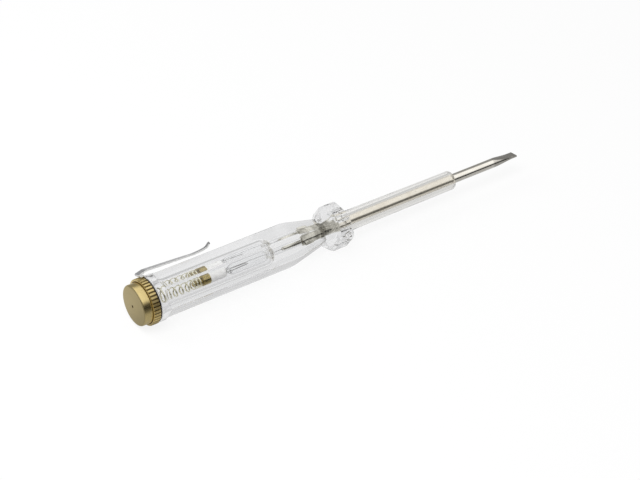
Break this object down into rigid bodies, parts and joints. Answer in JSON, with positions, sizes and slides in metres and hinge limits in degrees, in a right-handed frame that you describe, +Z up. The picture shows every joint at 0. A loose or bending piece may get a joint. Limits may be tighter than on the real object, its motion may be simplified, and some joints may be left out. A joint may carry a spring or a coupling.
{
  "type": "voltage tester screwdriver",
  "caption": "Pocket voltage tester with a slotted blade in a clear sleeve, a clear faceted handle around a glow lamp, resistor and spring, a brass screw cap and a steel clip.",
  "frame": {"origin": "under the middle of the tool's length, level with the lowest point of the knurled flange", "axes": "+X along the tool from the screw cap to the blade's tip, +Z up, with the pocket clip on the upper side"},
  "size_m": [0.14, 0.0142, 0.0156],
  "materials": {
    "clear_plastic": "clear moulded acrylic, polished",
    "sleeve_plastic": "clear extruded tube with a faint warm tint",
    "nickel_steel": "nickel plated, bright",
    "clip_steel": "nickel plated spring strip, bright",
    "brass": "turned, satin",
    "spring_wire": "drawn wire",
    "ceramic": "glazed white ceramic",
    "tinned_metal": "tinned wire and sheet",
    "electrode": "dark nickel",
    "lamp_glass": "clear glass"
  },
  "bodies": {
    "handle": {"handle": "clear_plastic", "blade": "nickel_steel", "blade_sleeve": "sleeve_plastic", "resistor_rear_cap": "brass", "resistor_body": "ceramic", "resistor_front_cap": "tinned_metal", "lamp_glass": "lamp_glass", "lamp_electrode_rear": "electrode", "lamp_electrode_front": "electrode", "lamp_lead_rear": "tinned_metal", "lamp_lead_front": "tinned_metal"},
    "contact_spring": {"contact_spring": "spring_wire"},
    "screw_cap": {"screw_cap": "brass"},
    "clip_ring": {"clip_ring": "clip_steel"},
    "clip_arm": {"clip_arm": "clip_steel"}
  },
  "joints": [
    {"name": "cap_travel", "type": "slide", "parent": "handle", "child": "contact_spring", "axis": [-1, 0, 0], "range_m": [0, 0.003], "deforming": ["contact_spring"]},
    {"name": "cap_turn", "type": "hinge", "parent": "contact_spring", "child": "screw_cap", "pos_m": [-0.067, 0, 0.0071], "axis": [-1, 0, 0], "range_deg": [0, 1080]},
    {"name": "clip_swivel", "type": "hinge", "parent": "handle", "child": "clip_ring", "pos_m": [-0.0644, 0, 0.0071], "axis": [1, 0, 0], "continuous": true},
    {"name": "clip_flex", "type": "hinge", "parent": "clip_ring", "child": "clip_arm", "pos_m": [-0.06535, 0.00412, 0.01423], "axis": [0, -0.866, 0.5], "range_deg": [-1.5, 6], "stiffness_Nm_per_rad": 0.3}
  ],
  "couplings": [
    {"joint": "cap_turn", "follows": "cap_travel", "rad_per_m": 6283.2}
  ]
}
